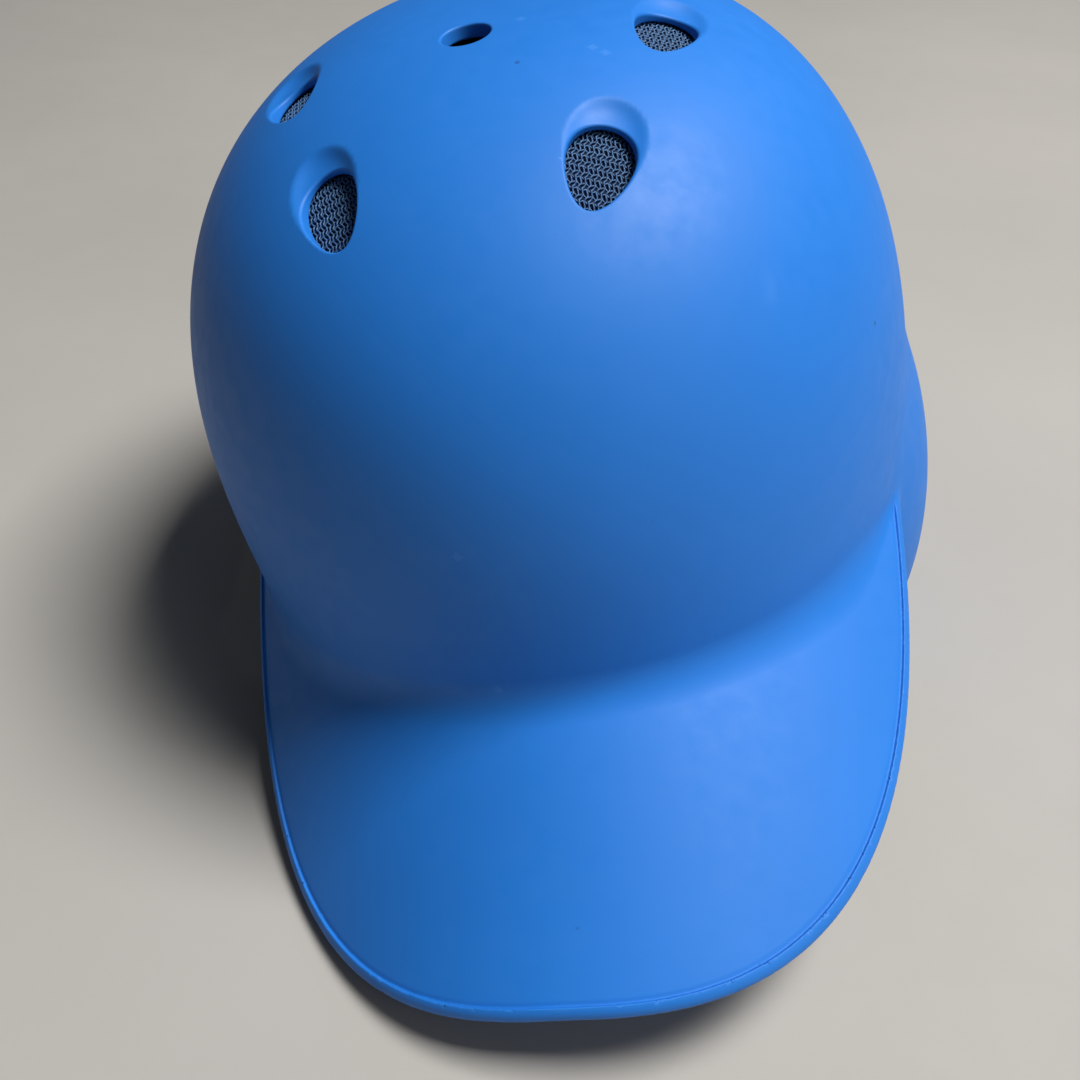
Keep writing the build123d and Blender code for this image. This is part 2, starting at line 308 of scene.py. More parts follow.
def egg_outline(u, v, half_width, half_length, taper):
    """Distance outside an egg drawn flat, its narrow end towards -v."""
    along = v / half_length
    swell = half_width * (1 + taper * np.clip(along, -1.5, 1.5))
    across = u / swell
    size = np.sqrt(across**2 + along**2) + 1e-9
    lean = -across * across * half_width * taper / (swell * half_length)
    slope_u = across / swell
    slope_v = along / half_length + lean
    return (size - 1) * size / np.sqrt(slope_u**2 + slope_v**2 + 1e-12)


def vent_outline(u, v):
    """Distance outside a vent's opening."""
    return egg_outline(u, v, VENT_HALF_WIDTH, VENT_HALF_LENGTH, VENT_TAPER)


def scoop_depth(u, v):
    """How deep the dish behind and around a vent is: none at its edge, then a soft ramp down."""
    inside = -egg_outline(u, v - SCOOP_SHIFT, SCOOP_HALF_WIDTH, SCOOP_HALF_LENGTH, VENT_TAPER)
    inside = np.maximum(inside, 0) ** 2
    return SCOOP_DEPTH * inside / (inside + SCOOP_RAMP**2)


def shell_field(points):
    """Distance outside the helmet's one-piece moulding."""
    x, y, z = points.T
    outline = brim_outline(x, y)
    inset = -outline
    steep = np.sqrt(1 + tan(radians(BRIM_SLOPE)) ** 2 + (2 * BRIM_ARCH * x) ** 2)
    top = brim_top(x, y)
    bead = LIP_RISE * (1 - ease(inset, *BEAD_FALL))
    groove = GROOVE_DEPTH * np.exp(-(((inset - GROOVE_INSET) / GROOVE_WIDTH) ** 2))
    above = (z - top - bead + groove) / steep
    thinning = EDGE_THINNING * (1 - ease(inset, 0, THINNED_OVER))
    below = (top - BRIM_THICKNESS + thinning - z) / steep

    brim = softer_max(above, outline, BRIM_EDGE_ROUND)
    brim = np.maximum(brim, y + BRIM_ROOT)
    bulge = np.maximum(flap(x, y, z), FLAP_INNER_X - x)
    head = softer_min(dome(x, y, z), bulge, FLAP_BLEND)
    crease = CREASE_AT_EDGE + (CREASE - CREASE_AT_EDGE) * ease(inset, 0, CREASE_GROWS_OVER)
    body = softer_min(head, brim, crease)
    body = np.minimum(np.maximum(body, below - FILLET_UNDER_BRIM), head)

    under = np.maximum(rim_profile(x, y, z), -below)
    body = softer_max(body, -under, RIM_ROUND)
    hollow = np.maximum(flap(x, y, z, WALL), FLAP_INNER_X - FLAP_HOLLOW_STEP - x)
    hollow = softer_min(dome(x, y, z, WALL), hollow, FLAP_BLEND)
    body = softer_max(body, -hollow, RIM_ROUND)

    ear = np.hypot(y - EAR_HOLE_CENTRE[0], z - EAR_HOLE_CENTRE[1]) - EAR_HOLE_RADIUS
    body = softer_max(body, -np.maximum(ear, FLAP_CENTRE[0] - x), RIM_ROUND)
    for axes in VENTS.values():
        near = np.nonzero(np.abs(points - axes[0]).max(axis=1) < VENT_REACH)[0]
        u, v, w = in_axes(points[near], axes)
        sunk = dome(*points[near].T) + scoop_depth(u, v)
        dished = egg_outline(u, v - SCOOP_SHIFT, *SCOOP_LIMITS, VENT_TAPER) < 0
        on_face = dished & (np.abs(w) < SCOOP_LAYER)
        some = np.where(on_face, np.maximum(body[near], sunk), body[near])
        bore = np.maximum(vent_outline(u, v), np.abs(w) - CUT_THROUGH)
        body[near] = softer_max(some, -bore, VENT_ROUND)
    near = np.nonzero(np.abs(points - CENTRE_HOLE[0]).max(axis=1) < HOLE_REACH)[0]
    u, v, w = in_axes(points[near], CENTRE_HOLE)
    bore = np.maximum(np.hypot(u, v) - CENTRE_HOLE_RADIUS, np.abs(w) - CUT_THROUGH)
    body[near] = softer_max(body[near], -bore, VENT_ROUND)
    return body


def in_batches(field, points, size=400000):
    """The field at many points, a batch at a time."""
    return np.concatenate([field(points[start : start + size]) for start in range(0, len(points), size)])


def slopes(field, points, step=0.06):
    """The field's gradient by central differences."""
    parts = []
    for axis in range(3):
        move = np.zeros(3)
        move[axis] = step
        parts.append((in_batches(field, points + move) - in_batches(field, points - move)) / (2 * step))
    return np.stack(parts, axis=1)


def settle(field, points, rounds=3, most=0.9):
    """Moves points onto the surface where the field is zero."""
    for _ in range(rounds):
        slope = slopes(field, points)
        size = np.maximum((slope**2).sum(axis=1), 0.2)
        move = -(in_batches(field, points) / size)[:, None] * slope
        length = np.linalg.norm(move, axis=1, keepdims=True) + 1e-12
        points = points + move * np.minimum(1, most / length)
    return points


def surface_net(field, low, high, grid):
    """Quads over the surface of a field: one vertex in each grid cell that the surface crosses."""
    shape = (np.ceil((np.array(high) - low) / (grid * BLOCK)).astype(int)) * BLOCK
    low = np.array(low, float)
    counts = shape // BLOCK
    blocks = np.stack(np.meshgrid(*[np.arange(n) for n in counts], indexing="ij"), axis=-1).reshape(-1, 3)
    centres = low + (blocks + 0.5) * BLOCK * grid
    blocks = blocks[np.abs(in_batches(field, centres)) < BLOCK_REACH]
    inner = np.stack(np.meshgrid(*[np.arange(BLOCK)] * 3, indexing="ij"), axis=-1).reshape(-1, 3)
    cells = (blocks[:, None] * BLOCK + inner[None]).reshape(-1, 3)
    values = np.full(tuple(shape), 1.0, np.float32)
    values[tuple(cells.T)] = in_batches(field, low + cells * grid)

    solid = values < 0
    corners = np.zeros(tuple(shape - 1), np.int8)
    for i in (0, 1):
        for j in (0, 1):
            for k in (0, 1):
                window = [slice(o, o + n - 1) for o, n in zip((i, j, k), shape)]
                corners += solid[tuple(window)]
    crossed = (corners > 0) & (corners < 8)
    number = np.full(crossed.shape, -1)
    number[crossed] = np.arange(crossed.sum())
    vertices = low + (np.argwhere(crossed) + 0.5) * grid

    quads = []
    for axis in range(3):
        one = (axis + 1) % 3
        two = (axis + 2) % 3
        ahead = np.zeros(3, int)
        ahead[axis] = 1
        window = [slice(1, n - 1) for n in shape]
        here = solid[tuple(window)]
        moved = [slice(1 + a, n - 1 + a) for a, n in zip(ahead, shape)]
        there = solid[tuple(moved)]
        changed = np.argwhere(here != there) + 1
        falls = here[tuple((changed - 1).T)]
        ring = []
        for back_one, back_two in ((1, 1), (0, 1), (0, 0), (1, 0)):
            cell = changed.copy()
            cell[:, one] -= back_one
            cell[:, two] -= back_two
            ring.append(number[tuple(cell.T)])
        ring = np.stack(ring, axis=1)
        ring[~falls] = ring[~falls][:, ::-1]
        quads.append(ring)
    return vertices, np.concatenate(quads)


def new_object(name, vertices, faces):
    """A mesh object from arrays, linked to the scene."""
    mesh = bpy.data.meshes.new(name)
    mesh.from_pydata(vertices.tolist(), [], faces)
    mesh.validate()
    made = bpy.data.objects.new(name, mesh)
    bpy.context.scene.collection.objects.link(made)
    return made


RIM_LAYER = 9
BEAD_LAYER = 2.2
BEAD_BAND = 6
FAR_OFF = 1e9


def feature_distance(points):
    """How far points are from the fine edges: vent rims, the centre hole and the brim's bead."""
    x, y, z = points.T
    nearest = np.full(len(points), FAR_OFF)
    for axes in VENTS.values():
        u, v, w = in_axes(points, axes)
        from_rim = np.abs(vent_outline(u, v))
        nearest = np.minimum(nearest, np.where(np.abs(w) < RIM_LAYER, from_rim, FAR_OFF))
    u, v, w = in_axes(points, CENTRE_HOLE)
    from_rim = np.abs(np.hypot(u, v) - CENTRE_HOLE_RADIUS)
    nearest = np.minimum(nearest, np.where(np.abs(w) < RIM_LAYER, from_rim, FAR_OFF))
    inset = -brim_outline(x, y)
    by_bead = (np.abs(z - brim_top(x, y)) < BEAD_LAYER) & (inset < BEAD_BAND)
    return np.minimum(nearest, np.where(by_bead, np.abs(inset - GROOVE_INSET), FAR_OFF))


def finer(vertices, faces, near, cuts):
    """The mesh with its edges near the fine features cut into shorter ones."""
    mesh = bpy.data.meshes.new("working")
    mesh.from_pydata(vertices.tolist(), [], faces)
    work = bmesh.new()
    work.from_mesh(mesh)
    close = feature_distance(vertices) < near
    edges = [edge for edge in work.edges if close[edge.verts[0].index] and close[edge.verts[1].index]]
    bmesh.ops.subdivide_edges(work, edges=edges, cuts=cuts, use_grid_fill=True)
    bmesh.ops.triangulate(work, faces=[face for face in work.faces if len(face.verts) > 4])
    work.to_mesh(mesh)
    work.free()
    spots = np.empty(len(mesh.vertices) * 3)
    mesh.vertices.foreach_get("co", spots)
    found = [tuple(polygon.vertices) for polygon in mesh.polygons]
    bpy.data.meshes.remove(mesh)
    return spots.reshape(-1, 3), found


def largest_part(vertices, faces, most_rounds=400):
    """The mesh without any loose crumbs: each vertex takes the lowest number it is joined to."""
    parent = np.arange(len(vertices))
    for _ in range(most_rounds):
        lowest = parent[faces].min(axis=1)
        before = parent.copy()
        for column in range(faces.shape[1]):
            np.minimum.at(parent, faces[:, column], lowest)
        parent = parent[parent]
        if (parent == before).all():
            break
    kinds, counts = np.unique(parent, return_counts=True)
    keep = parent == kinds[counts.argmax()]
    place = np.cumsum(keep) - 1
    return vertices[keep], place[faces[keep[faces[:, 0]]]]


# ---- materials ----
class Nodes:
    """A material's node tree, with short ways to add and join nodes."""

    def __init__(self, name):
        self.material = bpy.data.materials.new(name)
        self.material.use_nodes = True
        self.tree = self.material.node_tree
        self.shader = self.tree.nodes["Principled BSDF"]
        self.place = self.add("ShaderNodeTexCoord").outputs["Object"]

    def add(self, kind, **values):
        node = self.tree.nodes.new(kind)
        for key, value in values.items():
            setattr(node, key, value)
        return node

    def join(self, source, target):
        self.tree.links.new(source, target)

    def noise(self, scale, detail=3.0, roughness=0.5, stretch=None):
        node = self.add("ShaderNodeTexNoise")
        node.inputs["Scale"].default_value = scale
        node.inputs["Detail"].default_value = detail
        node.inputs["Roughness"].default_value = roughness
        self.join(self.stretched(stretch), node.inputs["Vector"])
        return node.outputs["Fac"]

    def bands(self, scale, direction):
        node = self.add("ShaderNodeTexWave", wave_type="BANDS", bands_direction=direction)
        node.inputs["Scale"].default_value = scale
        node.inputs["Distortion"].default_value = 0.6
        self.join(self.place, node.inputs["Vector"])
        return node.outputs["Fac"]

    def stretched(self, stretch):
        if stretch is None:
            return self.place
        scale, rotation = stretch
        mapping = self.add("ShaderNodeMapping")
        mapping.inputs["Scale"].default_value = scale
        mapping.inputs["Rotation"].default_value = rotation
        self.join(self.place, mapping.inputs["Vector"])
        return mapping.outputs["Vector"]

    def cells(self, scale, feature="F1"):
        node = self.add("ShaderNodeTexVoronoi", feature=feature)
        node.inputs["Scale"].default_value = scale
        self.join(self.place, node.inputs["Vector"])
        return node.outputs["Distance"]

    def ramp(self, source, low, high, start=0.0, end=1.0):
        node = self.add("ShaderNodeMapRange")
        for key, value in (("From Min", low), ("From Max", high), ("To Min", start), ("To Max", end)):
            node.inputs[key].default_value = value
        self.join(source, node.inputs["Value"])
        return node.outputs["Result"]

    def maths(self, operation, first, second):
        node = self.add("ShaderNodeMath", operation=operation)
        for socket, value in zip(node.inputs, (first, second)):
            if isinstance(value, (int, float)):
                socket.default_value = value
            else:
                self.join(value, socket)
        return node.outputs["Value"]

    def mix(self, factor, first, second):
        node = self.add("ShaderNodeMix", data_type="RGBA")
        self.join(factor, node.inputs["Factor"])
        for socket, value in zip((node.inputs[6], node.inputs[7]), (first, second)):
            if isinstance(value, tuple):
                socket.default_value = (*value, 1)
            else:
                self.join(value, socket)
        return node.outputs[2]

    def bump(self, height, distance, strength=1.0, below=None):
        node = self.add("ShaderNodeBump")
        node.inputs["Distance"].default_value = distance
        node.inputs["Strength"].default_value = strength
        self.join(height, node.inputs["Height"])
        if below is not None:
            self.join(below, node.inputs["Normal"])
        return node.outputs["Normal"]

    def finish(self, colour, roughness, normal, **values):
        self.join(colour, self.shader.inputs["Base Color"])
        self.join(roughness, self.shader.inputs["Roughness"])
        self.join(normal, self.shader.inputs["Normal"])
        for key, value in values.items():
            self.shader.inputs[key].default_value = value
        return self.material


def shell_plastic():
    """Soft-touch moulded plastic: matte blue, finely grained, a few specks and scuffs, and lighter blue
    along sharp convex edges.
    """
    n = Nodes("shell_plastic")
    cloud = n.ramp(n.noise(14, 4), 0.35, 0.65)
    colour = n.mix(cloud, (0.0125, 0.168, 0.600), (0.0145, 0.180, 0.640))
    edge = n.ramp(n.add("ShaderNodeNewGeometry").outputs["Pointiness"], 0.53, 0.60)
    colour = n.mix(n.maths("MULTIPLY", edge, 0.35), colour, (0.06, 0.26, 0.74))
    scratch_lines = n.noise(60, 2, stretch=((1, 0.06, 1), (0.4, 0.2, 0.5)))
    patches = n.ramp(n.noise(22, 2), 0.60, 0.72)
    scratches = n.maths("MULTIPLY", n.ramp(scratch_lines, 0.70, 0.76), patches)
    colour = n.mix(n.maths("MULTIPLY", scratches, 0.30), colour, (0.16, 0.40, 0.86))
    dots = n.ramp(n.cells(70), 0.050, 0.035)
    few = n.ramp(n.noise(35, 1), 0.57, 0.60)
    specks = n.maths("MULTIPLY", dots, few)
    colour = n.mix(n.maths("MULTIPLY", specks, 0.75), colour, (0.008, 0.02, 0.05))
    roughness = n.ramp(n.noise(180, 4), 0.3, 0.7, 0.50, 0.60)
    grain = n.bump(n.noise(1800, 3, 0.6), 0.00004, 0.35)
    waviness = n.bump(n.noise(16, 1), 0.0006, 0.04, below=grain)
    return n.finish(colour, roughness, waviness, **{"Specular IOR Level": 0.36})


def vent_mesh():
    """Knitted mesh of grey-blue monofilament."""
    n = Nodes("vent_mesh")
    colour = n.mix(n.ramp(n.noise(900, 3), 0.35, 0.65), (0.034, 0.094, 0.215), (0.070, 0.170, 0.340))
    roughness = n.ramp(n.noise(1500, 2), 0.3, 0.7, 0.38, 0.6)
    normal = n.bump(n.noise(4000, 2), 0.00004, 0.6)
    return n.finish(colour, roughness, normal)


def shade_backing():
    """Near-black navy sheet behind the knit, faintly ribbed: painted shade for the dark hollow seen
    through the vent.
    """
    n = Nodes("shade_backing")
    ribs = n.cells(1400)
    colour = n.mix(n.ramp(ribs, 0.1, 0.7), (0.005, 0.018, 0.070), (0.002, 0.008, 0.034))
    roughness = n.ramp(n.noise(800, 2), 0.3, 0.7, 0.6, 0.85)
    return n.finish(colour, roughness, n.bump(ribs, 0.0002, 0.8), **{"Specular IOR Level": 0.15})


def impact_foam():
    """Expanded bead foam, dark grey, its moulded beads pressed flat against each other."""
    n = Nodes("impact_foam")
    beads = n.cells(330)
    edges = n.cells(330, "DISTANCE_TO_EDGE")
    colour = n.mix(n.ramp(edges, 0.0, 0.12), (0.010, 0.010, 0.011), (0.028, 0.029, 0.031))
    tint = n.ramp(n.noise(45, 3), 0.3, 0.7)
    colour = n.mix(n.maths("MULTIPLY", tint, 0.4), colour, (0.045, 0.046, 0.05))
    roughness = n.ramp(beads, 0.0, 0.8, 0.62, 0.85)
    pressed = n.bump(n.ramp(edges, 0.0, 0.16), 0.0005, 0.8)
    pores = n.bump(n.noise(2600, 2), 0.0001, 0.4, below=pressed)
    return n.finish(colour, roughness, pores)


def pad_fabric():
    """Black brushed knit over soft foam: fine ribs crossed by rows of loops."""
    n = Nodes("pad_fabric")
    knit = n.maths("MULTIPLY", n.bands(190, "X"), n.bands(150, "DIAGONAL"))
    colour = n.mix(n.ramp(knit, 0.0, 0.9), (0.006, 0.006, 0.007), (0.032, 0.033, 0.037))
    lint = n.ramp(n.noise(420, 2), 0.66, 0.78)
    colour = n.mix(n.maths("MULTIPLY", lint, 0.35), colour, (0.10, 0.10, 0.105))
    roughness = n.ramp(n.noise(90, 3), 0.3, 0.7, 0.78, 0.95)
    weave = n.bump(knit, 0.00035, 0.8)
    fuzz = n.bump(n.noise(2200, 3), 0.00015, 0.5, below=weave)
    return n.finish(colour, roughness, fuzz, **{"Sheen Weight": 0.35, "Sheen Roughness": 0.5})


def thread():
    """Twisted sewing thread and the folded binding it holds."""
    n = Nodes("binding_thread")
    colour = n.mix(n.ramp(n.noise(700, 2), 0.35, 0.65), (0.008, 0.008, 0.009), (0.040, 0.042, 0.050))
    roughness = n.ramp(n.noise(400, 2), 0.3, 0.7, 0.6, 0.85)
    twist = n.bump(n.noise(1600, 2, stretch=((1, 1, 3), (0.5, 0.5, 0))), 0.0002, 0.7)
    return n.finish(colour, roughness, twist, **{"Sheen Weight": 0.2})


def hook_and_loop():
    """Black hook-and-loop tape: a dense field of tiny loops."""
    n = Nodes("hook_and_loop")
    loops = n.cells(1100)
    colour = n.mix(n.ramp(loops, 0.1, 0.7), (0.035, 0.035, 0.038), (0.006, 0.006, 0.007))
    roughness = n.ramp(n.noise(300, 2), 0.3, 0.7, 0.75, 0.95)
    normal = n.bump(loops, 0.0006, 0.9)
    return n.finish(colour, roughness, normal, **{"Sheen Weight": 0.3})


def floor_material():
    """Pale matte floor, hardly mottled."""
    n = Nodes("floor")
    colour = n.mix(n.ramp(n.noise(5, 4), 0.3, 0.7), (0.385, 0.369, 0.345), (0.42, 0.402, 0.375))
    roughness = n.ramp(n.noise(60, 3), 0.3, 0.7, 0.75, 0.9)
    normal = n.bump(n.noise(400, 3), 0.0002, 0.2)
    return n.finish(colour, roughness, normal)


SHELL_PLASTIC = shell_plastic()
VENT_MESH = vent_mesh()
SHADE_BACKING = shade_backing()
IMPACT_FOAM = impact_foam()
PAD_FABRIC = pad_fabric()
THREAD = thread()
HOOK_AND_LOOP = hook_and_loop()


def dress(piece, material, replaced=()):
    """Gives a piece its material and its body, and hides the CAD nodes it stands for."""
    piece.data.materials.clear()
    piece.data.materials.append(material)
    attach(piece, "root")
    if replaced:
        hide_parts(*replaced)


# ---- shell: its normals come from the field, so the cells of the net don't show ----
spots, shell_quads = surface_net(shell_field, SHELL_LOW, SHELL_HIGH, GRID)
spots, shell_quads = largest_part(spots, shell_quads)
spots = settle(shell_field, spots)
shell_faces = shell_quads.tolist()
spots, shell_faces = finer(spots, shell_faces, FINE_REACH, FINE_CUTS)
spots = settle(shell_field, spots, rounds=2, most=0.5)
outward_directions = slopes(shell_field, spots)
outward_directions /= np.linalg.norm(outward_directions, axis=1, keepdims=True) + 1e-12
shell = new_object("shell_moulding", laid(spots), shell_faces)
shell.data.shade_smooth()
shell.data.normals_split_custom_set_from_vertices(laid_direction(outward_directions).tolist())
dress(shell, SHELL_PLASTIC, ["outer_shell"])

# ---- knitted vent screens ----
KNIT_PITCH = 1.0
KNIT_ROW = 1.36
KNIT_SWING = 0.30
CROSS_WAVE = 0.24
STRAND_RADIUS = 0.19
CROSS_RADIUS = 0.85 * STRAND_RADIUS
OVER_AND_UNDER = 0.7 * STRAND_RADIUS
STRAND_POINTS = 7
SCREEN_DEPTH = 4.1
SCREEN_MARGIN = 3.6
BACKING_DEPTHS = (4.5, 4.8)


def down_to(points, axes, depth, rounds=6):
    """Points moved along a plane's outward direction onto the dome's surface at a depth."""
    points = points.copy()
    for _ in range(rounds):
        points -= dome(*points.T, depth)[:, None] * axes[3]
    return points


def tube(path, radius, sides=6):
    """Vertices and faces of a capped tube along a path."""
    run = np.gradient(path, axis=0)
    run /= np.linalg.norm(run, axis=1, keepdims=True) + 1e-12
    lead = np.cross(run, (0.13, 0.21, 0.97))
    lead /= np.linalg.norm(lead, axis=1, keepdims=True) + 1e-12
    side = np.cross(run, lead)
    rings = []
    for step in range(sides):
        angle = 2 * pi * step / sides
        rings.append(path + radius * (cos(angle) * lead + sin(angle) * side))
    vertices = np.stack(rings, axis=1).reshape(-1, 3)
    faces = []
    for i in range(len(path) - 1):
        for j in range(sides):
            k = (j + 1) % sides
            faces.append((i * sides + j, i * sides + k, (i + 1) * sides + k, (i + 1) * sides + j))
    last = (len(path) - 1) * sides
    faces.append(tuple(range(sides))[::-1])
    faces.append(tuple(last + j for j in range(sides)))
    return vertices, faces


def gathered(parts):
    """One list of vertices and faces out of several."""
    vertices = []
    faces = []
    count = 0
    for some_vertices, some_faces in parts:
        vertices.append(some_vertices)
        faces.extend(tuple(index + count for index in face) for face in some_faces)
        count += len(some_vertices)
    return np.concatenate(vertices), faces


def on_screen(u, v, axes, depth):
    """Points of a vent's own plane laid on the dome's surface at a depth."""
    flat = axes[0] + np.outer(u, axes[1]) + np.outer(v, axes[2])
    return down_to(flat, axes, depth)


def knit_strands(axes):
    """Zig-zag strands side by side, tied at each turn by wavy cross strands."""
    strands = []
    wide = VENT_HALF_WIDTH * (1 + VENT_TAPER) + SCREEN_MARGIN
    reach = VENT_HALF_LENGTH + SCREEN_MARGIN
    columns = int(wide / KNIT_PITCH) + 1
    for column in range(-columns, columns + 1):
        v = np.arange(-reach, reach, KNIT_ROW / STRAND_POINTS)
        turns = v / (2 * KNIT_ROW)
        saw = np.abs((turns % 1) * 2 - 1) * 2 - 1
        u = column * KNIT_PITCH + KNIT_SWING * saw
        inside = vent_outline(u, v) < SCREEN_MARGIN
        if inside.sum() > STRAND_POINTS:
            over = OVER_AND_UNDER * np.cos(4 * pi * turns[inside] + pi * column)
            path = on_screen(u[inside], v[inside], axes, SCREEN_DEPTH) + np.outer(over, axes[3])
            strands.append(tube(path, STRAND_RADIUS))
    rows = int(reach / KNIT_ROW) + 1
    for row in range(-rows, rows + 1):
        u = np.arange(-wide, wide, KNIT_PITCH / STRAND_POINTS)
        lean = KNIT_SWING * (1 if row % 2 else -1)
        v = row * KNIT_ROW + CROSS_WAVE * np.sin(pi * (u - lean) / KNIT_PITCH)
        inside = vent_outline(u, v) < SCREEN_MARGIN
        if inside.sum() > STRAND_POINTS:
            over = OVER_AND_UNDER * np.cos(pi * (u[inside] - lean) / KNIT_PITCH)
            path = on_screen(u[inside], v[inside], axes, SCREEN_DEPTH + STRAND_RADIUS)
            strands.append(tube(path + np.outer(over, axes[3]), CROSS_RADIUS))
    return strands


def backing(axes, rings=14, around=48):
    """Thin closed disc of near-black painted shade behind the knit, egg-shaped like the vent."""
    half_width = VENT_HALF_WIDTH + SCREEN_MARGIN
    half_length = VENT_HALF_LENGTH + SCREEN_MARGIN
    sheets = []
    for depth in BACKING_DEPTHS:
        u = [0.0]
        v = [0.0]
        for ring in range(1, rings + 1):
            share = ring / rings
            for step in range(around):
                angle = 2 * pi * step / around
                u.append(share * half_width * sin(angle) * (1 + VENT_TAPER * cos(angle)))
                v.append(share * half_length * cos(angle))
        sheets.append(on_screen(np.array(u), np.array(v), axes, depth))
    count = len(sheets[0])
    faces = []
    for step in range(around):
        after = (step + 1) % around
        faces.append((0, 1 + step, 1 + after))
        for ring in range(rings - 1):
            inner = 1 + ring * around
            outer = inner + around
            faces.append((inner + step, outer + step, outer + after, inner + after))
    under = [tuple(index + count for index in face[::-1]) for face in faces]
    last = 1 + (rings - 1) * around
    wall = []
    for step in range(around):
        after = (step + 1) % around
        wall.append((last + step, last + step + count, last + after + count, last + after))
    return np.concatenate(sheets), faces + under + wall


for vent_name, vent_axes in VENTS.items():
    strand_vertices, strand_faces = gathered(knit_strands(vent_axes))
    backing_vertices, backing_faces = backing(vent_axes)
    vertices, faces = gathered([(strand_vertices, strand_faces), (backing_vertices, backing_faces)])
    screen = new_object(f"{vent_name}_knit", laid(vertices), faces)
    screen.data.shade_smooth()
    dress(screen, VENT_MESH, [f"{vent_name}_vent_screen"])
    # The disc behind the knit is near-black painted shade, standing in for the dark hollow behind the
    # vent.
    screen.data.materials.append(SHADE_BACKING)
    kinds = np.zeros(len(screen.data.polygons), int)
    kinds[len(strand_faces) :] = 1
    screen.data.polygons.foreach_set("material_index", kinds)

# ---- fastener dots keep their CAD shape ----
NODES["pad_fastener_dots"].data.materials.clear()
NODES["pad_fastener_dots"].data.materials.append(HOOK_AND_LOOP)


def bake(thing):
    """Applies every modifier of an object to its mesh."""
    bpy.context.view_layer.update()
    graph = bpy.context.evaluated_depsgraph_get()
    mesh = bpy.data.meshes.new_from_object(thing.evaluated_get(graph))
    thing.modifiers.clear()
    thing.data = mesh


def remeshed(node_name, name, voxel, shrink):
    """An evenly meshed copy of a CAD node, pulled in a little along its normals."""
    copy = bpy.data.objects.new(name, NODES[node_name].data.copy())
    bpy.context.scene.collection.objects.link(copy)
    remesh = copy.modifiers.new("remesh", "REMESH")
    remesh.mode = "VOXEL"
    remesh.voxel_size = voxel
    bake(copy)
    count = len(copy.data.vertices)
    place = np.empty(count * 3)
    copy.data.vertices.foreach_get("co", place)
    normals = np.empty(count * 3)
    copy.data.vertex_normals.foreach_get("vector", normals)
    copy.data.vertices.foreach_set("co", place - normals * shrink)
    return copy


# ---- impact foam, moulded with soft edges ----
FOAM_VOXEL = 0.0016
FOAM_SHRINK = 0.0001
for node_name in [name for name in NODES if name.endswith("_foam")]:
    foam = remeshed(node_name, f"{node_name}_block", FOAM_VOXEL, FOAM_SHRINK)
    soften = foam.modifiers.new("soften", "SMOOTH")
    soften.factor = 0.5
    soften.iterations = 3
    bake(foam)
    foam.data.shade_smooth()
    dress(foam, IMPACT_FOAM, [node_name])

# ---- comfort pads ----
PAD_VOXEL = 0.003
PAD_SHRINK = 0.0011
PAD_CAP = 0.0022
SWELL_FRAMES = 20
PADS = ("brow_pad", "left_temple_pad", "right_temple_pad", "nape_pad", "crown_pad", "ear_pad")


def puffed(name):
    """A pad swollen from its CAD solid by cloth under pressure, held close to that solid."""
    scene = bpy.context.scene
    pad = remeshed(name, f"{name}_soft", PAD_VOXEL, PAD_SHRINK)
    count = len(pad.data.vertices)
    start = np.empty(count * 3)
    pad.data.vertices.foreach_get("co", start)
    start = start.reshape(-1, 3)
    cloth = pad.modifiers.new("cloth", "CLOTH")
    cloth.settings.quality = 5
    cloth.settings.mass = 0.3
    cloth.settings.use_pressure = True
    cloth.settings.uniform_pressure_force = 4
    cloth.settings.effector_weights.gravity = 0
    cloth.settings.tension_stiffness = 12
    cloth.settings.compression_stiffness = 12
    cloth.point_cache.frame_start = 1
    cloth.point_cache.frame_end = SWELL_FRAMES
    for step in range(1, SWELL_FRAMES + 1):
        scene.frame_set(step)
    bake(pad)
    ended = np.empty(count * 3)
    pad.data.vertices.foreach_get("co", ended)
    move = ended.reshape(-1, 3) - start
    length = np.linalg.norm(move, axis=1, keepdims=True) + 1e-12
    ended = start + move * np.minimum(1, PAD_CAP / length)
    pad.data.vertices.foreach_set("co", ended.ravel())
    scene.frame_set(1)
    smoother = pad.modifiers.new("smooth", "SUBSURF")
    smoother.levels = 1
    bake(pad)
    pad.data.shade_smooth()
    return pad


def worn(points):
    """Laid-frame points in metres as worn-frame points in millimetres."""
    return (points - np.array(WORN_TO_LAID.translation)) @ np.array(WORN_TO_LAID.to_3x3()) / MM


def level_loops(mesh, field, depth):
    """Closed loops where a mesh crosses the surface the given depth below a field's outer one."""
    spots = np.empty(len(mesh.vertices) * 3)
    mesh.vertices.foreach_get("co", spots)
    spots = worn(spots.reshape(-1, 3))
    over = field(*spots.T) + depth
    crossings = {}
    neighbours = {}
    for polygon in mesh.polygons:
        found = []
        for first, second in polygon.edge_keys:
            if (over[first] < 0) != (over[second] < 0):
                share = over[first] / (over[first] - over[second])
                crossings[(first, second)] = spots[first] * (1 - share) + spots[second] * share
                found.append((first, second))
        if len(found) == 2:
            neighbours.setdefault(found[0], []).append(found[1])
            neighbours.setdefault(found[1], []).append(found[0])
    loops = []
    left = dict.fromkeys(sorted(neighbours))
    while left:
        here = next(iter(left))
        loop = []
        while here is not None:
            loop.append(crossings[here])
            left.pop(here, None)
            here = next((key for key in neighbours[here] if key in left), None)
        loops.append(np.array(loop))
    return loops


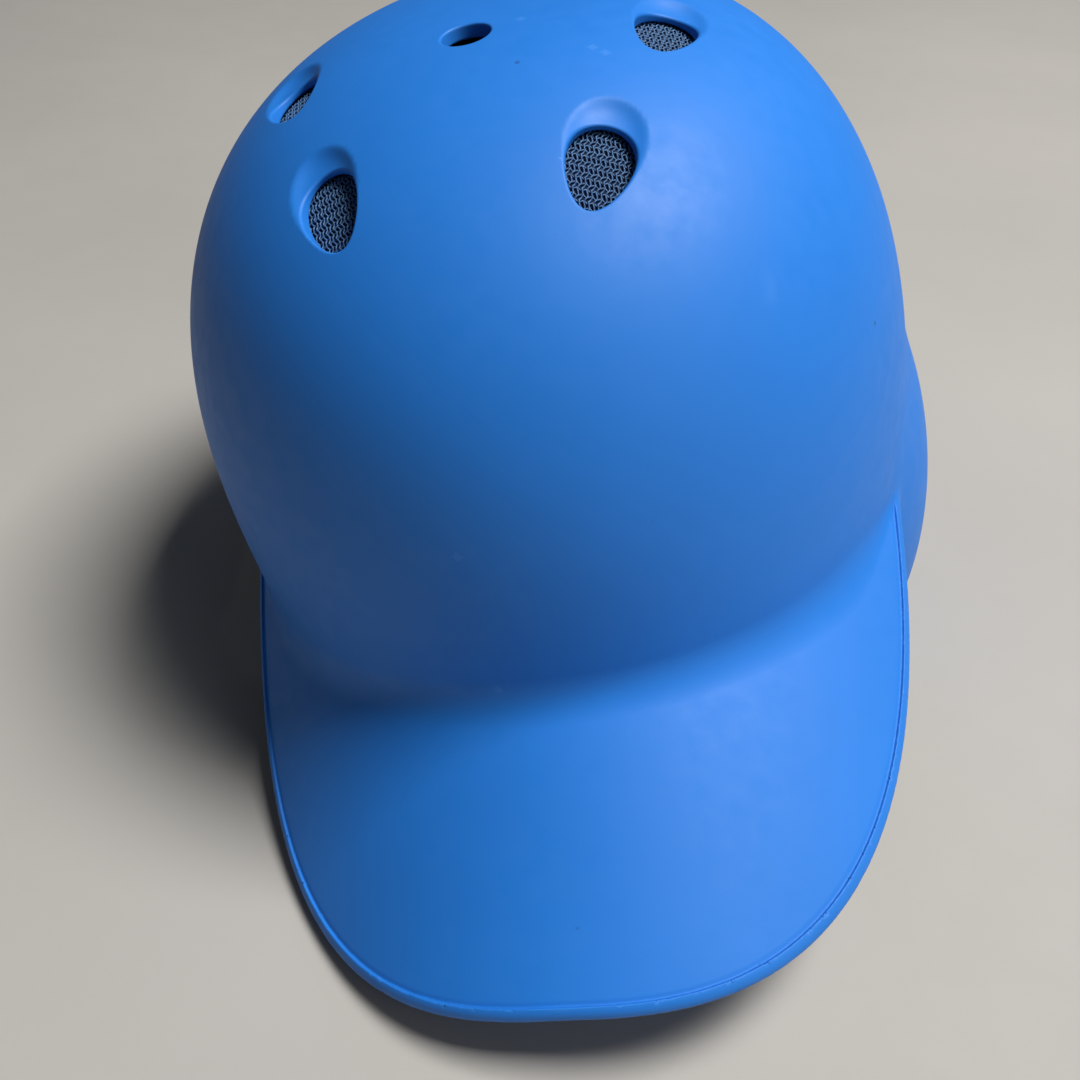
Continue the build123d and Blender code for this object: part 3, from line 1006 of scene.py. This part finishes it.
def closed_tube(loop, radius, sides=8):
    """Vertices and faces of a tube round a closed loop, the loop first evened out."""
    for _ in range(BINDING_SMOOTHING):
        loop = (np.roll(loop, 1, axis=0) + loop + np.roll(loop, -1, axis=0)) / 3
    step_length = np.linalg.norm(np.roll(loop, -1, axis=0) - loop, axis=1)
    travelled = np.concatenate([[0], np.cumsum(step_length)])
    around = np.concatenate([loop, loop[:1]])
    count = int(travelled[-1] / BINDING_STEP)
    marks = np.arange(count) * travelled[-1] / count
    path = np.stack([np.interp(marks, travelled, around[:, axis]) for axis in range(3)], axis=1)
    run = np.roll(path, -1, axis=0) - np.roll(path, 1, axis=0)
    run /= np.linalg.norm(run, axis=1, keepdims=True)
    lead = path - path.mean(axis=0)
    lead -= run * (lead * run).sum(axis=1, keepdims=True)
    lead /= np.linalg.norm(lead, axis=1, keepdims=True)
    side = np.cross(run, lead)
    turns = [2 * pi * step / sides for step in range(sides)]
    rings = [path + radius * (cos(turn) * lead + sin(turn) * side) for turn in turns]
    faces = []
    for i in range(count):
        j = (i + 1) % count
        for k in range(sides):
            m = (k + 1) % sides
            faces.append((i * sides + k, i * sides + m, j * sides + m, j * sides + k))
    return np.stack(rings, axis=1).reshape(-1, 3), faces


# Each pad's binding runs round it halfway through its layer, in worn millimetres.
BINDING_RADIUS = 0.85
BINDING_STEP = 1.2
BINDING_SMOOTHING = 12
SHORTEST_LOOP = 40

for pad_name in PADS:
    pad = puffed(pad_name)
    dress(pad, PAD_FABRIC, [pad_name])
    if pad_name == "ear_pad":
        loops = level_loops(pad.data, flap, sum(EAR_PAD_LAYER) / 2)
    else:
        loops = level_loops(pad.data, dome, sum(PAD_LAYER) / 2)
    tubes = [closed_tube(loop, BINDING_RADIUS) for loop in loops if len(loop) > SHORTEST_LOOP]
    binding_vertices, binding_faces = gathered(tubes)
    binding = new_object(f"{pad_name}_binding", laid(binding_vertices), binding_faces)
    binding.data.shade_smooth()
    dress(binding, THREAD)

# ---- floor, light and camera ----
floor_mesh = bpy.data.meshes.new("floor")
floor_grid = bmesh.new()
bmesh.ops.create_grid(floor_grid, x_segments=8, y_segments=8, size=3)
floor_grid.to_mesh(floor_mesh)
floor_grid.free()
floor = bpy.data.objects.new("floor", floor_mesh)
bpy.context.scene.collection.objects.link(floor)
floor_mesh.materials.append(floor_material())

# The camera stands in the worn frame: its place in millimetres, then how far it is turned to
# the wearer's left, raised above the brow's level and rolled, in degrees.
CAMERA_AT = (49.88, -294.02, 200.69)
CAMERA_TURN = 12.9732
CAMERA_RISE = 38.8394
CAMERA_ROLL = 14.6805
FOCAL_SHARE = 1.0811
SENSOR = 36.0

camera_data = bpy.data.cameras.new("camera")
camera_data.sensor_width = SENSOR
camera_data.lens = FOCAL_SHARE * SENSOR
camera_data.clip_start = 0.01
camera = bpy.data.objects.new("camera", camera_data)
bpy.context.scene.collection.objects.link(camera)
facing = (
    Matrix.Rotation(radians(CAMERA_TURN), 4, "Z")
    @ Matrix.Rotation(radians(90 - CAMERA_RISE), 4, "X")
    @ Matrix.Rotation(radians(-CAMERA_ROLL), 4, "Z")
)
stand = Matrix.Translation([value * MM for value in CAMERA_AT])
camera.matrix_world = WORN_TO_LAID @ stand @ facing
bpy.context.scene.camera = camera


def area_light(name, place, size, power, colour, aim=(0.0, 0.0, 0.08)):
    """A soft square light aimed at the helmet."""
    data = bpy.data.lights.new(name, "AREA")
    data.shape = "SQUARE"
    data.size = size
    data.energy = power
    data.color = colour
    light = bpy.data.objects.new(name, data)
    bpy.context.scene.collection.objects.link(light)
    light.location = place
    light.rotation_euler = (Vector(aim) - Vector(place)).to_track_quat("-Z", "Y").to_euler()


area_light("key", (0.92, -0.04, 2.15), 0.85, 73, (1.0, 0.99, 0.97))
area_light("side_fill", (0.95, -0.75, 0.55), 0.9, 2.5, (0.97, 0.98, 1.0))

world = bpy.data.worlds.new("studio")
world.use_nodes = True
world.node_tree.nodes["Background"].inputs["Color"].default_value = (0.80, 0.86, 0.95, 1)
world.node_tree.nodes["Background"].inputs["Strength"].default_value = 0.07
bpy.context.scene.world = world
bpy.context.scene.view_settings.view_transform = "Standard"
